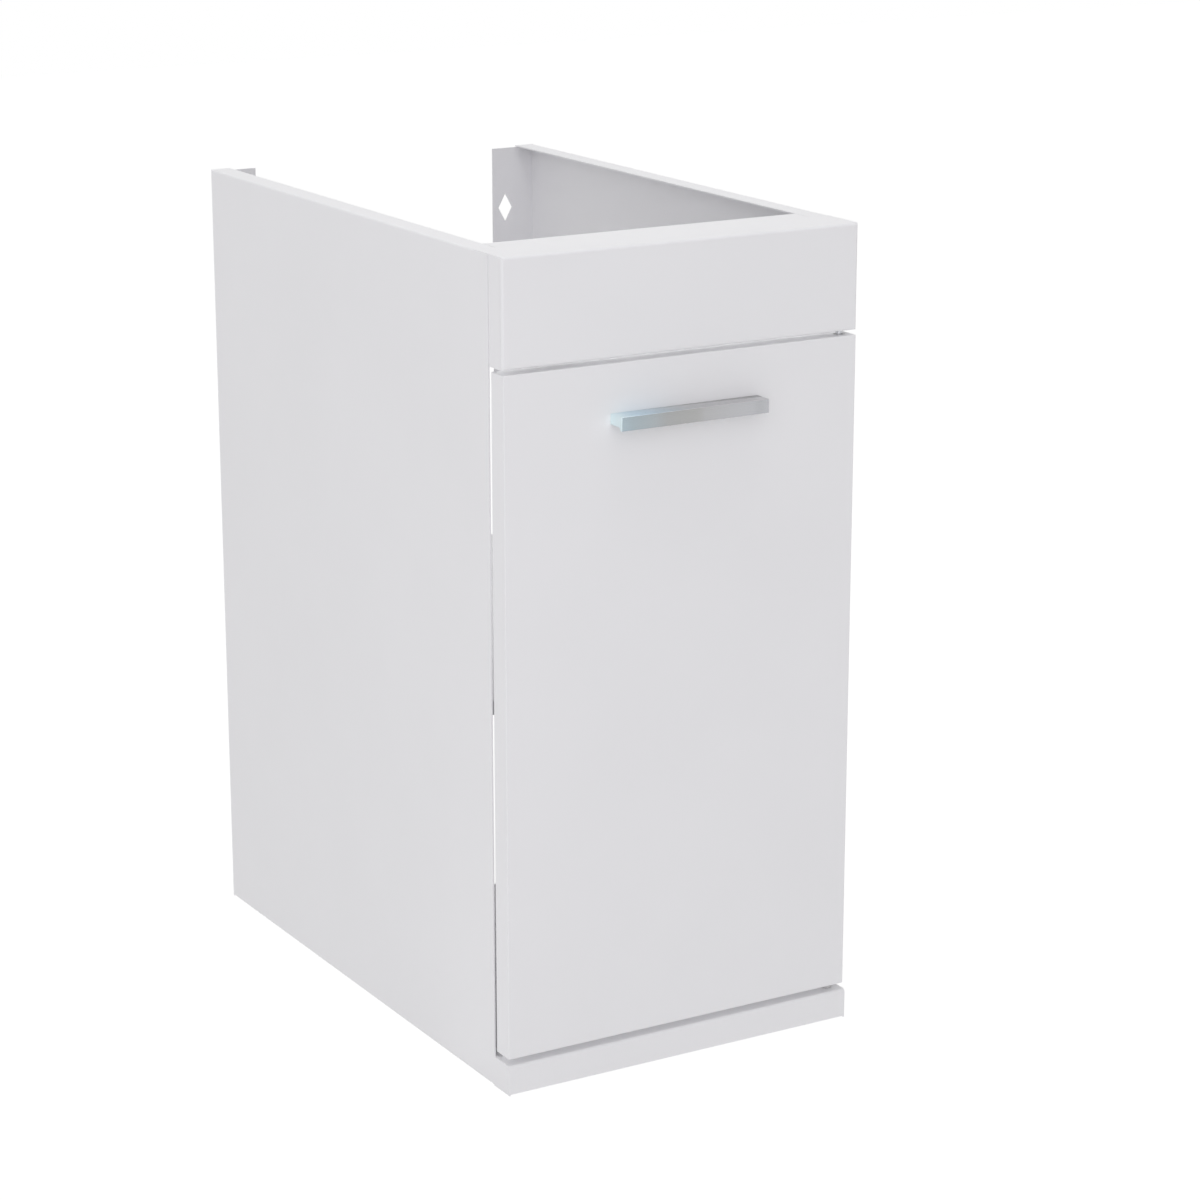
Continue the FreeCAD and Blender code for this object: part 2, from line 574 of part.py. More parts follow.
# ---------------------------------------------------------------- all nodes
os.makedirs("parts", exist_ok=True)
left_side, left_end = side_panel(), fascia_end()
nodes = {
    "side_panel_left": left_side,
    "side_panel_right": mirrored(left_side),
    "bottom_panel": bottom_panel(),
    "fascia_cover": fascia_cover(),
    "fascia_end_left": left_end,
    "fascia_end_right": mirrored(left_end),
    "fascia_screws": fascia_screws(),
    "fascia_nuts": fascia_nuts(),
    "shelf": shelf(),
    "shelf_brackets": shelf_brackets(),
    "top_pivot_plate": top_pivot_plate(),
    "top_pivot_screw": top_pivot_screw(),
    "bottom_pivot_plate": bottom_pivot_plate(),
    "bottom_pivot_pin": bottom_pivot_pin(),
    "pivot_washer": pivot_washer(),
    "catch_body": catch_body(),
    "catch_poles": catch_poles(),
    "catch_magnet": catch_magnet(),
    "catch_screws": catch_screws(),
    "door_panel": door_panel(),
    "door_bush_top": door_bush(DOOR_TOP - BUSH_LENGTH, DOOR_TOP),
    "door_bush_bottom": door_bush(DOOR_BOTTOM, DOOR_BOTTOM + BUSH_LENGTH),
    "strike_plate": strike_plate(),
    "strike_screws": strike_screws(),
    "handle": handle(),
    "handle_screws": handle_screws(),
}
for node, shape in nodes.items():
    save(node, shape)
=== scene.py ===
"""Looks of the wall-hung washbasin cabinet: powder-coated sheet, lacquered door, chromed bar handle.

Everything is in metres, in the frame of the CAD model: +Z up, the door faces -Y.
Sheet parts and the door keep their CAD shape and get a material here. Small turned, moulded
and threaded parts are built again with their real detail, in the places of the CAD nodes.
"""
import json
import math

import bmesh
import bpy
from mathutils import Matrix, Vector


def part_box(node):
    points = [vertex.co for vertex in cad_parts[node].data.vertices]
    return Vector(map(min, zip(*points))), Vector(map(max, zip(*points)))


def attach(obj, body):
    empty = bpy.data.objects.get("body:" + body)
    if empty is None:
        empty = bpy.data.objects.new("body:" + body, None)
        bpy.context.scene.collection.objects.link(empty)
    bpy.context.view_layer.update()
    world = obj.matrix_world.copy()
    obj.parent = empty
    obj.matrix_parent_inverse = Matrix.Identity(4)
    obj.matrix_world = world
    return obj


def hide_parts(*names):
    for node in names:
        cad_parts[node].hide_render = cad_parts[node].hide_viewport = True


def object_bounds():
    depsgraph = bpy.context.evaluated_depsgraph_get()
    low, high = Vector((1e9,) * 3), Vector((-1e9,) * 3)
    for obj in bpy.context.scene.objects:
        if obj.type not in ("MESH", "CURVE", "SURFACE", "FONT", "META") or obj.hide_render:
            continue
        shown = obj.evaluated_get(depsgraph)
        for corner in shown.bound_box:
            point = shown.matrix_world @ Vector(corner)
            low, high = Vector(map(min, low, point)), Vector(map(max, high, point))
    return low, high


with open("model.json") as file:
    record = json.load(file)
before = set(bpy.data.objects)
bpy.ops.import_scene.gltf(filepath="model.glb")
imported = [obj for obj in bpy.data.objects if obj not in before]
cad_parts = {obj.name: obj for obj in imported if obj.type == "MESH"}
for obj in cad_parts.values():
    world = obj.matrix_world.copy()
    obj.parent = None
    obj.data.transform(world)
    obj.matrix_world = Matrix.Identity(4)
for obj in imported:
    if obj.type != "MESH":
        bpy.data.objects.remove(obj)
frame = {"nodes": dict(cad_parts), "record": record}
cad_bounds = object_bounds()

MM = 0.001
WHOLE_LOW, WHOLE_HIGH = cad_bounds
SHARP_ANGLE = math.radians(35)


# ---------------------------------------------------------------- materials
class Surface:
    """A material with its Principled shader and short calls for the nodes that feed it."""

    def __init__(self, name, **uniform):
        self.material = bpy.data.materials.new(name)
        self.material.use_nodes = True
        self.nodes = self.material.node_tree.nodes
        self.links = self.material.node_tree.links
        self.shader = self.nodes["Principled BSDF"]
        self.coordinates = self.nodes.new("ShaderNodeTexCoord").outputs["Object"]
        for socket, value in uniform.items():
            self.shader.inputs[socket.replace("_", " ")].default_value = value

    def noise(self, size, detail=2.0, stretch=(1, 1, 1)):
        """Smooth noise whose lumps are about size metres across, stretched along an axis."""
        mapping = self.nodes.new("ShaderNodeMapping")
        mapping.inputs["Scale"].default_value = [1 / (size * factor) for factor in stretch]
        texture = self.nodes.new("ShaderNodeTexNoise")
        texture.inputs["Scale"].default_value = 1.0
        texture.inputs["Detail"].default_value = detail
        self.links.new(self.coordinates, mapping.inputs["Vector"])
        self.links.new(mapping.outputs["Vector"], texture.inputs["Vector"])
        return texture.outputs["Fac"]

    def spread(self, value, low, high, first=0.3, last=0.7):
        """value, which lies about first to last, stretched to the range low to high."""
        node = self.nodes.new("ShaderNodeMapRange")
        node.inputs["From Min"].default_value = first
        node.inputs["From Max"].default_value = last
        node.inputs["To Min"].default_value = low
        node.inputs["To Max"].default_value = high
        self.links.new(value, node.inputs["Value"])
        return node.outputs["Result"]

    def along_x(self, low, high):
        """0 at X = low to 1 at X = high, in the piece's own frame."""
        split = self.nodes.new("ShaderNodeSeparateXYZ")
        self.links.new(self.coordinates, split.inputs["Vector"])
        return self.spread(split.outputs["X"], 0.0, 1.0, low, high)

    def ramp(self, factor, stops):
        """Colours blended smoothly between (place, colour) stops."""
        node = self.nodes.new("ShaderNodeValToRGB")
        node.color_ramp.interpolation = "B_SPLINE"
        elements = node.color_ramp.elements
        while len(elements) < len(stops):
            elements.new(0.5)
        for element, (place, colour) in zip(elements, stops):
            element.position = place
            element.color = (*colour, 1)
        self.links.new(factor, node.inputs["Fac"])
        return node.outputs["Color"]

    def blend_colours(self, factor, first, second):
        node = self.nodes.new("ShaderNodeMix")
        node.data_type = "RGBA"
        node.inputs["A"].default_value = (*first, 1)
        node.inputs["B"].default_value = (*second, 1)
        self.links.new(factor, node.inputs["Factor"])
        return node.outputs["Result"]

    def drive(self, socket, value):
        self.links.new(value, self.shader.inputs[socket])

    def bump(self, height, depth, below=None):
        """Relief of depth metres from a height field, on top of another bump if there is one."""
        node = self.nodes.new("ShaderNodeBump")
        node.inputs["Distance"].default_value = depth
        self.links.new(height, node.inputs["Height"])
        if below is not None:
            self.links.new(below, node.inputs["Normal"])
        self.links.new(node.outputs["Normal"], self.shader.inputs["Normal"])
        return node.outputs["Normal"]


def white_coat(name, tone, roughness, peel_size, peel_depth):
    """White paint with a fine orange peel, faint cloudiness and slightly uneven gloss."""
    surface = Surface(name, IOR=1.45)
    cloud = surface.spread(surface.noise(0.11, 3.0), 0.0, 1.0)
    darker, lighter = [c * 0.992 for c in tone], [c * 1.006 for c in tone]
    surface.drive("Base Color", surface.blend_colours(cloud, darker, lighter))
    surface.drive("Roughness", surface.spread(surface.noise(0.02, 3.0), roughness - 0.03, roughness + 0.03))
    peel = surface.bump(surface.noise(peel_size, 1.0), peel_depth)
    surface.bump(surface.noise(peel_size / 6, 1.0), peel_depth / 8, peel)
    return surface.material


def chrome(name, stops):
    """Chrome plate whose base colour carries a painted reflection, a ramp of colours along the bar that is
    cool at the left end, with the faint lengthwise lines of the bar under it.
    """
    low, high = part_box("handle")
    surface = Surface(name, Metallic=1.0)
    # Painted reflection: the base colour changes along the bar, following the stops.
    surface.drive("Base Color", surface.ramp(surface.along_x(low.x, high.x), stops))
    surface.drive("Roughness", surface.spread(surface.noise(0.0015, 2.0, (30, 1, 1)), 0.15, 0.24))
    surface.bump(surface.noise(0.0006, 2.0, (60, 1, 1)), 0.000003)
    return surface.material


def zinc(name):
    """Bright zinc plate: bluish, blotched and a little grainy."""
    surface = Surface(name, Metallic=1.0)
    blotch = surface.spread(surface.noise(0.004, 4.0), 0.0, 1.0)
    surface.drive("Base Color", surface.blend_colours(blotch, (0.56, 0.58, 0.61), (0.70, 0.71, 0.72)))
    surface.drive("Roughness", surface.spread(surface.noise(0.002, 3.0), 0.26, 0.42))
    surface.bump(surface.noise(0.0004, 2.0), 0.00001)
    return surface.material


def moulded(name, tone, roughness):
    """Moulded plastic with a fine spark-eroded grain."""
    surface = Surface(name, IOR=1.5)
    cloud = surface.spread(surface.noise(0.006, 3.0), 0.0, 1.0)
    darker, lighter = [c * 0.95 for c in tone], [c * 1.03 for c in tone]
    surface.drive("Base Color", surface.blend_colours(cloud, darker, lighter))
    surface.drive("Roughness", surface.spread(surface.noise(0.003, 2.0), roughness - 0.06, roughness + 0.06))
    surface.bump(surface.noise(0.00035, 2.0), 0.00002)
    return surface.material


def sintered(name):
    """Pressed and fired ferrite: dark, dull and gritty."""
    surface = Surface(name, Metallic=0.35)
    grit = surface.spread(surface.noise(0.0005, 4.0), 0.0, 1.0)
    surface.drive("Base Color", surface.blend_colours(grit, (0.045, 0.045, 0.05), (0.11, 0.11, 0.115)))
    surface.drive("Roughness", surface.spread(grit, 0.5, 0.75))
    surface.bump(grit, 0.00003)
    return surface.material


WHITE = (0.920, 0.917, 0.932)
# Painted reflection in the chrome's base colour, from the left end to the right end: darker bands for the
# front and underside, and a brighter copy, cyan at the left end, for the top and end faces.
CHROME_FRONT_PAINTED_REFLECTION = [(0.0, (0.40, 0.48, 0.53)), (0.08, (0.36, 0.42, 0.45)), (0.22, (0.39, 0.425, 0.445)),
                (0.30, (0.375, 0.38, 0.38)), (0.50, (0.395, 0.395, 0.39)), (0.56, (0.43, 0.43, 0.435)),
                (0.88, (0.485, 0.49, 0.515)), (0.93, (0.42, 0.425, 0.44)), (1.0, (0.48, 0.485, 0.51))]
CHROME_UPPER_PAINTED_REFLECTION = [(0.0, (0.88, 1.0, 1.0)), (0.12, (0.60, 0.77, 0.88)), (0.35, (0.52, 0.57, 0.59)),
                (0.50, (0.56, 0.56, 0.56)), (1.0, (0.57, 0.57, 0.58))]
MATERIALS = {
    "white_steel": white_coat("white_powder_coat", WHITE, 0.38, 0.0016, 0.000012),
    "white_lacquer": white_coat("white_satin_lacquer", WHITE, 0.34, 0.0024, 0.000010),
    "chrome": chrome("chrome_plate", CHROME_FRONT_PAINTED_REFLECTION),
    "zinc_steel": zinc("zinc_plate"),
    "nylon_white": moulded("natural_nylon", (0.66, 0.655, 0.65), 0.46),
    "ferrite": sintered("ferrite"),
}
SLOTS = {subpart["node"]: subpart["material_slot"] for subpart in frame["record"]["subparts"]}
BODIES = {node: body for body, nodes in frame["record"]["behaviour"]["bodies"].items() for node in nodes}


def finish_cad_nodes():
    """Gives every CAD node the material of its slot."""
    for node, slot in SLOTS.items():
        mesh = frame["nodes"][node].data
        mesh.materials.clear()
        mesh.materials.append(MATERIALS[slot])


# ---------------------------------------------------------------- mesh building
def mesh_object(name, bm):
    """Object in the scene from a bmesh, with outward normals."""
    bmesh.ops.recalc_face_normals(bm, faces=bm.faces)
    mesh = bpy.data.meshes.new(name)
    bm.to_mesh(mesh)
    bm.free()
    piece = bpy.data.objects.new(name, mesh)
    bpy.context.scene.collection.objects.link(piece)
    return piece


def apply_modifiers(piece):
    """Replaces a piece's mesh by its mesh after modifiers."""
    graph = bpy.context.evaluated_depsgraph_get()
    mesh = bpy.data.meshes.new_from_object(piece.evaluated_get(graph))
    piece.modifiers.clear()
    piece.data = mesh


def combine(piece, tool, operation="DIFFERENCE"):
    """Cuts a piece with a tool, or keeps what the two share, and removes the tool."""
    modifier = piece.modifiers.new("combine", "BOOLEAN")
    modifier.operation = operation
    modifier.solver = "EXACT"
    modifier.object = tool
    apply_modifiers(piece)
    bpy.data.objects.remove(tool)


def soften(piece, width, segments=2):
    """Rounds a piece's sharp edges."""
    modifier = piece.modifiers.new("soften", "BEVEL")
    modifier.width = width
    modifier.segments = segments
    modifier.limit_method = "ANGLE"
    modifier.angle_limit = SHARP_ANGLE
    apply_modifiers(piece)


def lathe(bm, profile, segments=48):
    """Closed surface of revolution about Z from (radius, height) points; radius 0 ends it in a tip."""
    rings = []
    for radius, height in profile:
        if radius == 0:
            rings.append([bm.verts.new((0, 0, height))])
            continue
        turns = [2 * math.pi * step / segments for step in range(segments)]
        rings.append([bm.verts.new((radius * math.cos(turn), radius * math.sin(turn), height))
                      for turn in turns])
    for lower, upper in zip(rings, rings[1:]):
        for step in range(segments):
            after = (step + 1) % segments
            corners = [lower[step % len(lower)], lower[after % len(lower)],
                       upper[after % len(upper)], upper[step % len(upper)]]
            bm.faces.new(list(dict.fromkeys(corners)))


def turned(name, profile, segments=48):
    bm = bmesh.new()
    lathe(bm, profile, segments)
    return mesh_object(name, bm)


def tube(name, inner, outer, low, high, edge):
    """Ring with chamfered or rounded rims."""
    profile = [(inner, low + edge), (inner + edge, low), (outer - edge, low), (outer, low + edge),
               (outer, high - edge), (outer - edge, high), (inner + edge, high), (inner, high - edge),
               (inner, low + edge)]
    piece = turned(name, profile)
    bm = bmesh.new()
    bm.from_mesh(piece.data)
    bmesh.ops.remove_doubles(bm, verts=bm.verts, dist=MM / 1000)
    bm.to_mesh(piece.data)
    bm.free()
    return piece


def arc(centre, radius, start, end, steps):
    """Points on an arc in a section, angles in degrees."""
    angles = [math.radians(start + (end - start) * step / steps) for step in range(steps + 1)]
    return [(centre[0] + radius * math.cos(angle), centre[1] + radius * math.sin(angle)) for angle in angles]


def threaded_shank(name, radius, length, pitch, plain):
    """Shank below Z = 0: a plain neck, a V thread as a helical ridge, and a tapered tip."""
    segments, rows_per_turn, tip = 32, 8, radius * 0.8
    depth = pitch * 0.55
    row_tall = pitch / rows_per_turn
    rows = int((length - plain) / row_tall)
    bm = bmesh.new()
    rings = [[bm.verts.new((radius * math.cos(turn), radius * math.sin(turn), 0))
              for turn in (2 * math.pi * step / segments for step in range(segments))]]
    for row in range(rows + 1):
        z = -plain - row * row_tall
        fade = min(1.0, row / rows_per_turn)
        taper = min(1.0, (length + z) / tip)
        ring = []
        for step in range(segments):
            turn = 2 * math.pi * step / segments
            phase = (row / rows_per_turn + step / segments) % 1.0
            groove = depth * fade * abs(2 * phase - 1)
            here = (radius - groove) * (0.6 + 0.4 * taper)
            ring.append(bm.verts.new((here * math.cos(turn), here * math.sin(turn), z)))
        rings.append(ring)
    for lower, upper in zip(rings, rings[1:]):
        for step in range(segments):
            after = (step + 1) % segments
            bm.faces.new((lower[step], lower[after], upper[after], upper[step]))
    bm.faces.new(rings[0])
    bm.faces.new(rings[-1])
    return mesh_object(name, bm)


def slot_cutter(length, width, depth, top):
    """Tapered bar that cuts one arm pair of a driver recess, from Z = top down."""
    bm = bmesh.new()
    corners = []
    for z, share in ((top - depth, 0.35), (top + depth, 1.65)):
        for x, y in ((-1, -1), (1, -1), (1, 1), (-1, 1)):
            corners.append(bm.verts.new((x * length / 2 * share, y * width / 2 * (0.6 + 0.4 * share), z)))
    for face in ((0, 1, 2, 3), (4, 5, 6, 7), (0, 1, 5, 4), (1, 2, 6, 5), (2, 3, 7, 6), (3, 0, 4, 7)):
        bm.faces.new([corners[index] for index in face])
    return mesh_object("cutter", bm)


def cross_recess(head, length, width, depth, top):
    """Cuts a cross for a screwdriver into a screw head."""
    for quarter in (0, 1):
        cutter = slot_cutter(length, width, depth, top)
        cutter.data.transform(Matrix.Rotation(quarter * math.pi / 2, 4, "Z"))
        combine(head, cutter)


def pan_head(radius, tall):
    """Domed head that sits on Z = 0."""
    edge = radius * 0.05
    side = tall * 0.42
    crown = [(radius * math.cos(angle), side + (tall - side) * math.sin(angle))
             for angle in (math.radians(8 * step) for step in range(1, 11))]
    profile = [(0, 0), (radius - edge, 0), (radius, edge), (radius, side), *crown, (0, tall)]
    head = turned("head", profile)
    cross_recess(head, radius * 1.15, radius * 0.26, tall * 0.62, tall)
    return head


def countersunk_head(radius, shank_radius, tall):
    """Flat head whose face is on Z = tall and whose cone ends in the shank."""
    rim = tall * 0.12
    profile = [(0, 0), (shank_radius, 0), (radius, tall - rim), (radius - rim / 3, tall), (0, tall)]
    head = turned("head", profile)
    cross_recess(head, radius * 1.05, radius * 0.24, tall * 0.8, tall)
    return head


def joined(name, pieces):
    """One object out of several meshes, each kept as its own closed part."""
    bm = bmesh.new()
    for piece in pieces:
        bm.from_mesh(piece.data)
        bpy.data.objects.remove(piece)
    return mesh_object(name, bm)


def repeated(name, pattern, placings):
    """One object with a copy of the pattern at each placing matrix."""
    bm = bmesh.new()
    for placing in placings:
        copy = pattern.data.copy()
        copy.transform(placing)
        bm.from_mesh(copy)
        bpy.data.meshes.remove(copy)
    bpy.data.objects.remove(pattern)
    return mesh_object(name, bm)


def placing(outward, place):
    """Turns a pattern's +Z to the outward direction and moves its origin to the place."""
    turn = Vector((0, 0, 1)).rotation_difference(Vector(outward)).to_matrix().to_4x4()
    return Matrix.Translation(Vector(place)) @ turn


def stand_for(piece, node, materials=None):
    """Shades a finished piece and puts it in a CAD node's place, on its body and in its slot."""
    piece.data.materials.clear()
    for material in materials or [MATERIALS[SLOTS[node]]]:
        piece.data.materials.append(material)
    for polygon in piece.data.polygons:
        polygon.use_smooth = True
    piece.data.set_sharp_from_angle(angle=SHARP_ANGLE)
    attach(piece, BODIES[node])
    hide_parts(node)


# ---------------------------------------------------------------- fasteners
SCREW_PITCH = {"fascia_screws": 0.8 * MM, "handle_screws": 0.7 * MM, "catch_screws": 1.3 * MM,
               "strike_screws": 1.2 * MM}


def fascia_screws():
    """Four M5 screws from inside the cabinet, through the tab and the end cap's flange."""
    low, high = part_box("fascia_screws")
    head_radius, head_tall, shank_radius = 4.8 * MM, 3.2 * MM, 2.5 * MM
    seat = high.y - head_tall
    shank = threaded_shank("shank", shank_radius, seat - low.y, SCREW_PITCH["fascia_screws"], MM)
    screw = joined("screw", [pan_head(head_radius, head_tall), shank])
    places = [(x, seat, z) for x in (low.x + head_radius, high.x - head_radius)
              for z in (low.z + head_radius, high.z - head_radius)]
    piece = repeated("fascia_screw_set", screw, [placing((0, 1, 0), place) for place in places])
    stand_for(piece, "fascia_screws")


def fascia_nuts():
    """Four hexagon nuts with their corners turned down at both ends."""
    low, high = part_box("fascia_nuts")
    corner_radius, bore = 4.6 * MM, 2.5 * MM
    tall = high.y - low.y
    flat_radius = corner_radius * math.cos(math.radians(30))
    bevel = (corner_radius - flat_radius) * 0.6
    bm = bmesh.new()
    lathe(bm, [(0, 0), (corner_radius, 0), (corner_radius, tall), (0, tall)], 6)
    nut = mesh_object("nut", bm)
    rim = turned("rim", [(0, 0), (flat_radius, 0), (corner_radius + bevel, bevel * 1.4),
                         (corner_radius + bevel, tall - bevel * 1.4), (flat_radius, tall), (0, tall)], 96)
    combine(nut, rim, "INTERSECT")
    mouth, mouth_tall, flare = bore * 1.16, bore * 0.16, bore * 1.5
    hole = turned("hole", [(0, -MM), (flare, -MM), (mouth, 0), (bore, mouth_tall),
                           (bore, tall - mouth_tall), (mouth, tall), (flare, tall + MM), (0, tall + MM)])
    combine(nut, hole)
    places = [(x, low.y, z) for x in (low.x + corner_radius, high.x - corner_radius)
              for z in (low.z + flat_radius, high.z - flat_radius)]
    stand_for(repeated("fascia_nut_set", nut, [placing((0, 1, 0), place) for place in places]), "fascia_nuts")


def catch_screws():
    """Two self-tapping screws that hold the catch under the fascia floor."""
    low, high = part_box("catch_screws")
    head_radius, head_tall, shank_radius = 3.2 * MM, 2.2 * MM, 1.7 * MM
    seat = low.z + head_tall
    shank = threaded_shank("shank", shank_radius, high.z - seat, SCREW_PITCH["catch_screws"], MM)
    screw = joined("screw", [pan_head(head_radius, head_tall), shank])
    middle = (low.y + high.y) / 2
    places = [(x, middle, seat) for x in (low.x + head_radius, high.x - head_radius)]
    piece = repeated("catch_screw_pair", screw, [placing((0, 0, -1), place) for place in places])
    stand_for(piece, "catch_screws")


def strike_screws():
    """Two countersunk screws, flush with the strike plate."""
    low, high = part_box("strike_screws")
    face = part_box("strike_plate")[1].y
    head_radius, shank_radius, head_tall = 3.0 * MM, 1.5 * MM, 1.5 * MM
    seat = face - head_tall
    shank = threaded_shank("shank", shank_radius, seat - low.y, SCREW_PITCH["strike_screws"], 0)
    screw = joined("screw", [countersunk_head(head_radius, shank_radius, head_tall), shank])
    middle = (low.z + high.z) / 2
    places = [(x, seat, middle) for x in (low.x + head_radius, high.x - head_radius)]
    piece = repeated("strike_screw_pair", screw, [placing((0, 1, 0), place) for place in places])
    stand_for(piece, "strike_screws")


def handle_screws():
    """Two M4 screws whose heads stand on the back of the door."""
    low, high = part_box("handle_screws")
    head_radius, head_tall, shank_radius = 3.9 * MM, 2.6 * MM, 2.0 * MM
    seat = high.y - head_tall
    plain_neck = 4 * MM
    shank = threaded_shank("shank", shank_radius, seat - low.y, SCREW_PITCH["handle_screws"], plain_neck)
    screw = joined("screw", [pan_head(head_radius, head_tall), shank])
    middle = (low.z + high.z) / 2
    places = [(x, seat, middle) for x in (low.x + head_radius, high.x - head_radius)]
    piece = repeated("handle_screw_pair", screw, [placing((0, 1, 0), place) for place in places])
    stand_for(piece, "handle_screws")


# ---------------------------------------------------------------- pivots
PIN_RADIUS = 2.5 * MM


def on_axis(piece, node):
    """Moves a turned piece to the middle of its CAD node, seen from above."""
    low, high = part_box(node)
    piece.data.transform(Matrix.Translation(((low.x + high.x) / 2, (low.y + high.y) / 2, 0)))
    stand_for(piece, node)


def pivots():
    """Shoulder screw, riveted pin, thrust washer and the two door bushes."""
    edge = 0.35 * MM
    for node, end in (("door_bush_top", "upper_bush"), ("door_bush_bottom", "lower_bush")):
        low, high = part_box(node)
        on_axis(tube(end, PIN_RADIUS + 0.05 * MM, (high.x - low.x) / 2, low.z, high.z, edge), node)
    low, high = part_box("pivot_washer")
    on_axis(tube("thrust_washer", PIN_RADIUS, (high.x - low.x) / 2, low.z, high.z, 0.45 * MM), "pivot_washer")

    low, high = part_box("bottom_pivot_pin")
    rivet_radius, rivet_tall, tip = (high.x - low.x) / 2, 1.5 * MM, 0.8 * MM
    dome = [(rivet_radius * math.sin(angle), low.z + rivet_tall * (1 - math.cos(angle)))
            for angle in (math.radians(15 * step) for step in range(1, 7))]
    profile = [(0, low.z), *dome, (PIN_RADIUS, low.z + rivet_tall), (PIN_RADIUS, high.z - tip),
               *arc((PIN_RADIUS - tip, high.z - tip), tip, 15, 90, 5), (0, high.z)]
    on_axis(turned("riveted_pin", profile), "bottom_pivot_pin")

    low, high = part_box("top_pivot_screw")
    head_radius, head_tall = (high.x - low.x) / 2, 4.0 * MM
    seat = high.z - head_tall
    groove_tall, groove = 0.6 * MM, 0.25 * MM
    profile = [(0, low.z), (PIN_RADIUS - tip, low.z), (PIN_RADIUS, low.z + tip),
               (PIN_RADIUS, seat - groove_tall), (PIN_RADIUS - groove, seat - groove_tall / 2),
               (PIN_RADIUS - groove, seat),
               (head_radius - edge, seat), (head_radius, seat + edge), (head_radius, high.z - edge),
               (head_radius - edge, high.z), (0, high.z)]
    screw = turned("shoulder_screw", profile)
    combine(screw, slot_cutter(head_radius * 2.6, 1.2 * MM, 1.6 * MM, high.z))
    on_axis(screw, "top_pivot_screw")


# ---------------------------------------------------------------- catch and plates
def softened_copy(name, node, width):
    """The CAD node's shape with its sharp edges rounded."""
    bm = bmesh.new()
    bm.from_mesh(frame["nodes"][node].data)
    bmesh.ops.remove_doubles(bm, verts=bm.verts, dist=MM / 1000)
    bmesh.ops.dissolve_limit(bm, angle_limit=math.radians(1), verts=bm.verts, edges=bm.edges)
    piece = mesh_object(name, bm)
    soften(piece, width)
    stand_for(piece, node)


# ---------------------------------------------------------------- handle
def handle():
    """Chromed bar: flat front and top, a scooped underside behind the front lip, crisp edges."""
    low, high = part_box("handle")
    lip, rear_tall = 2.4 * MM, 8.0 * MM
    under = high.z - rear_tall
    scoop = under - low.z
    section = [(low.y, high.z), (low.y, low.z), (low.y + lip, low.z)]
    section += arc((low.y + lip + scoop, low.z), scoop, 180, 90, 8)[1:]
    section += [(high.y, under), (high.y, high.z)]
    bm = bmesh.new()
    rings = [[bm.verts.new((x, y, z)) for y, z in section] for x in (low.x, high.x)]
    count = len(section)
    for index in range(count):
        after = (index + 1) % count
        bm.faces.new((rings[0][index], rings[0][after], rings[1][after], rings[1][index]))
    for ring in rings:
        bm.faces.new(ring)
    bar = mesh_object("handle_bar", bm)
    soften(bar, 0.4 * MM, 3)
    screw_low, screw_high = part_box("handle_screws")
    head_radius = (screw_high.z - screw_low.z) / 2
    for x in (screw_low.x + head_radius, screw_high.x - head_radius):
        drill = turned("drill", [(0, -8 * MM), (2 * MM, -7 * MM), (2 * MM, 0), (3 * MM, MM), (0, MM)])
        drill.data.transform(placing((0, 1, 0), (x, high.y, (screw_low.z + screw_high.z) / 2)))
        combine(bar, drill)
    # The chrome comes in two copies with painted reflection: a darker one for the front and underside, and a
    # brighter, cyan-ended one for the top and both end faces.
    stand_for(bar, "handle", [MATERIALS["chrome"], chrome("chrome_upper_painted_reflection", CHROME_UPPER_PAINTED_REFLECTION)])
    for polygon in bar.data.polygons:
        polygon.material_index = 1 if polygon.normal.z > 0.5 or abs(polygon.normal.x) > 0.7 else 0


# ---------------------------------------------------------------- stage
def white_floor():
    """Pale seamless floor, bright enough to vanish into the white background."""
    half = 6.0
    mesh = bpy.data.meshes.new("floor")
    corners = [(-half, -half), (half, -half), (half, half), (-half, half)]
    mesh.from_pydata([(x, y, WHOLE_LOW.z) for x, y in corners], [], [(0, 1, 2, 3)])
    floor = bpy.data.objects.new("floor", mesh)
    bpy.context.scene.collection.objects.link(floor)
    surface = Surface("floor_white", Roughness=0.9)
    surface.shader.inputs["Base Color"].default_value = (0.18, 0.18, 0.18, 1)
    surface.shader.inputs["Emission Color"].default_value = (1, 1, 1, 1)
    surface.drive("Emission Strength", softer_light(surface.nodes, surface.links, 0.88, 0.55))
    mesh.materials.append(surface.material)


def add_light(name, kind, place, target, watts, colour=(1, 1, 1)):
    light = bpy.data.lights.new(name, kind)
    light.energy = watts
    light.color = colour
    holder = bpy.data.objects.new(name, light)
    holder.location = place
    holder.rotation_mode = "QUATERNION"
    holder.rotation_quaternion = (Vector(target) - Vector(place)).to_track_quat("-Z", "Y")
    holder.visible_camera = False
    bpy.context.scene.collection.objects.link(holder)
    return light


def softbox(name, place, target, size, watts, colour):
    light = add_light(name, "AREA", place, target, watts, colour)
    light.shape = "DISK"
    light.size = size


def softer_light(nodes, links, seen, given):
    """Brightness of a stage surface: seen in views and reflections, given as light on matt surfaces."""
    path = nodes.new("ShaderNodeLightPath")
    strength = nodes.new("ShaderNodeMapRange")
    strength.inputs["To Min"].default_value = seen
    strength.inputs["To Max"].default_value = given
    links.new(path.outputs["Is Diffuse Ray"], strength.inputs["Value"])
    return strength.outputs["Result"]


def white_world():
    """Background that shows as white and lights the object a little less."""
    world = bpy.data.worlds.new("studio")
    world.use_nodes = True
    nodes, links = world.node_tree.nodes, world.node_tree.links
    sky = nodes["Background"]
    sky.inputs["Color"].default_value = (1, 1, 1, 1)
    links.new(softer_light(nodes, links, 1.0, 0.40), sky.inputs["Strength"])
    bpy.context.scene.world = world


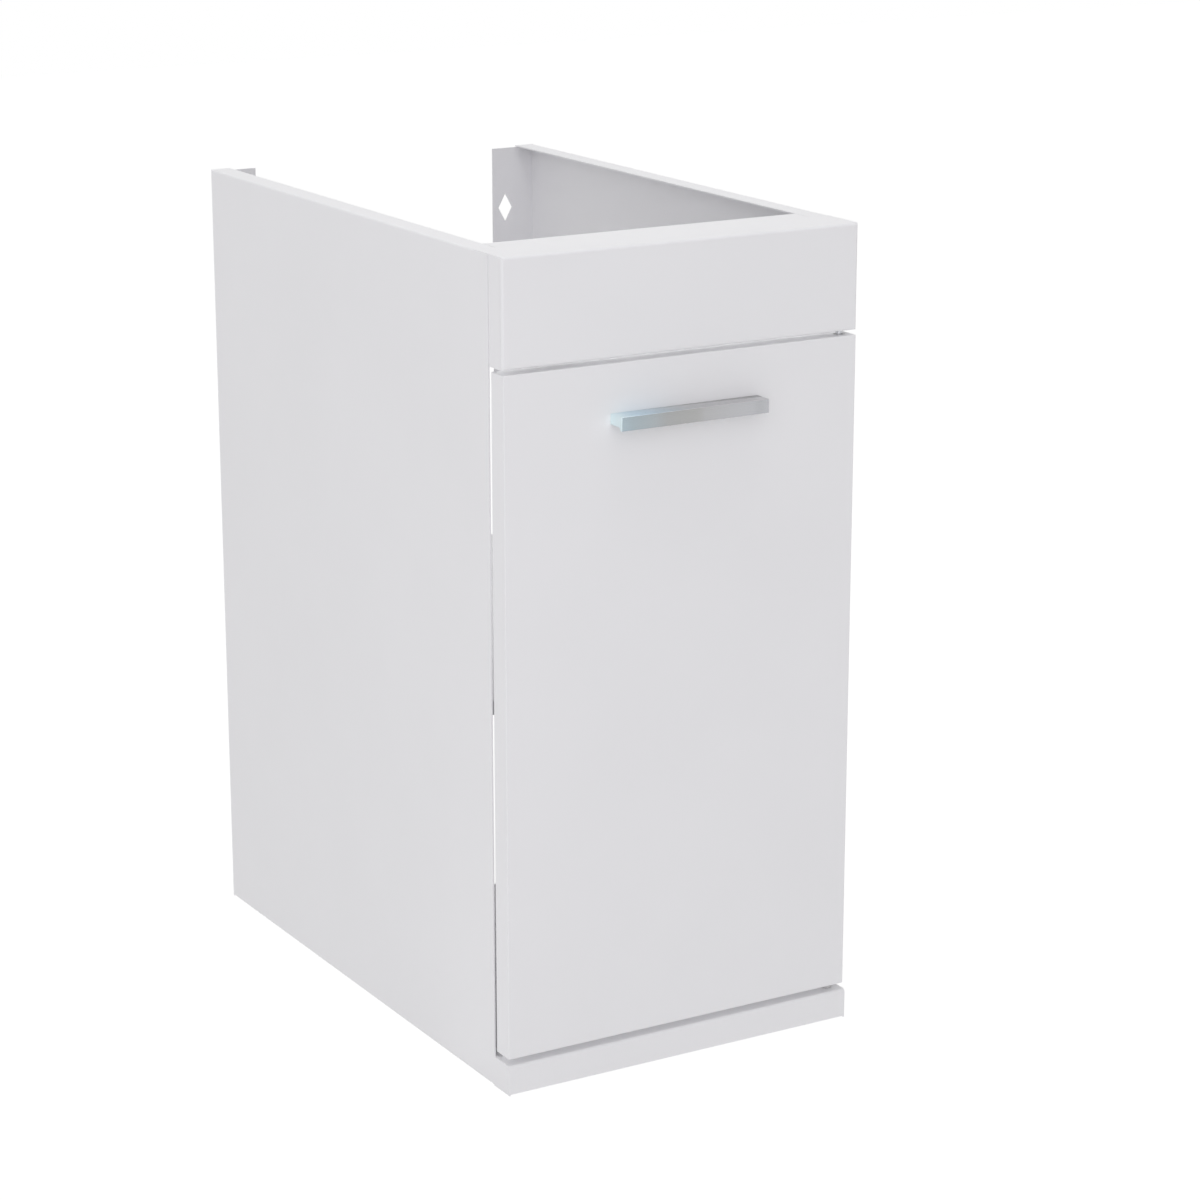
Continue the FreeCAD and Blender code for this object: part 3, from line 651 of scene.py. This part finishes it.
def from_direction(azimuth, elevation, distance):
    """Offset towards a direction: azimuth 0 is straight in front of the door, positive to the right."""
    azimuth, elevation = math.radians(azimuth), math.radians(elevation)
    level = math.cos(elevation)
    return distance * Vector((math.sin(azimuth) * level, -math.cos(azimuth) * level, math.sin(elevation)))


def gap_lamps():
    """Two faint strips of light behind the door, which lift the shade in the gaps above and below it."""
    behind_door, end_margin, share_of_gap = 0.5 * MM, 5 * MM, 0.6
    door_low, door_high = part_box("door_panel")
    fascia_low, rail_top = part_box("fascia_cover")[0].z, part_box("bottom_panel")[1].z
    for name, bottom, top, watts in (("upper_gap_lamp", door_high.z, fascia_low, 0.0025),
                                     ("lower_gap_lamp", rail_top, door_low.z, 0.003)):
        place = Vector((0, door_high.y + behind_door, (bottom + top) / 2))
        lamp = add_light(name, "AREA", place, place - Vector((0, 1, 0)), watts)
        lamp.shape = "RECTANGLE"
        lamp.size = door_high.x - door_low.x - 2 * end_margin
        lamp.size_y = (top - bottom) * share_of_gap


def studio():
    """Broad key light from the camera's side, weak fill from the left and a softbox overhead."""
    bpy.context.scene.view_settings.view_transform = "Standard"
    white_world()
    middle = (WHOLE_LOW + WHOLE_HIGH) / 2
    violet, white = (1.0, 0.98, 1.035), (1.0, 1.0, 1.0)
    for name, azimuth, elevation, distance, size, watts, colour in (
            ("key", -32, 19, 3.5, 4.0, 34.0, violet),
            ("left_fill", -88, 40, 3.5, 3.0, 6.5, violet),
            ("overhead", -45, 86, 2.4, 1.6, 15.5, white)):
        softbox(name, middle + from_direction(azimuth, elevation, distance), middle, size, watts, colour)
    gap_lamps()
    white_floor()


def photo_camera():
    """Long lens, from the left of the door and a little above, level to a tenth of a degree."""
    azimuth, elevation = math.radians(30.5), math.radians(15.59)
    distance, shift_right, shift_down = 2.6816, 0.0682, 0.0140
    forward = Vector((math.sin(azimuth) * math.cos(elevation), math.cos(azimuth) * math.cos(elevation),
                      -math.sin(elevation)))
    right = forward.cross(Vector((0, 0, 1))).normalized()
    up = right.cross(forward)
    carcass_low, carcass_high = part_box("side_panel_left")
    seam_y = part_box("fascia_end_left")[1].y
    middle = Vector((0, (seam_y + carcass_high.y) / 2, (carcass_low.z + carcass_high.z) / 2))
    data = bpy.data.cameras.new("camera")
    data.sensor_width = 36.0
    data.lens = 100.37
    camera = bpy.data.objects.new("camera", data)
    camera.location = middle - forward * distance + right * shift_right - up * shift_down
    camera.rotation_mode = "QUATERNION"
    camera.rotation_quaternion = Matrix((right, up, -forward)).transposed().to_quaternion()
    bpy.context.scene.collection.objects.link(camera)
    bpy.context.scene.camera = camera


finish_cad_nodes()
fascia_screws()
fascia_nuts()
catch_screws()
strike_screws()
handle_screws()
pivots()
for replaced_node, copy_name, rounding in (
        ("catch_body", "catch_housing", 0.35), ("catch_poles", "pole_plates", 0.15),
        ("catch_magnet", "magnet_block", 0.2), ("strike_plate", "strike", 0.2),
        ("top_pivot_plate", "upper_pivot_plate", 0.25), ("bottom_pivot_plate", "lower_pivot_plate", 0.25)):
    softened_copy(copy_name, replaced_node, rounding * MM)
handle()
studio()
photo_camera()
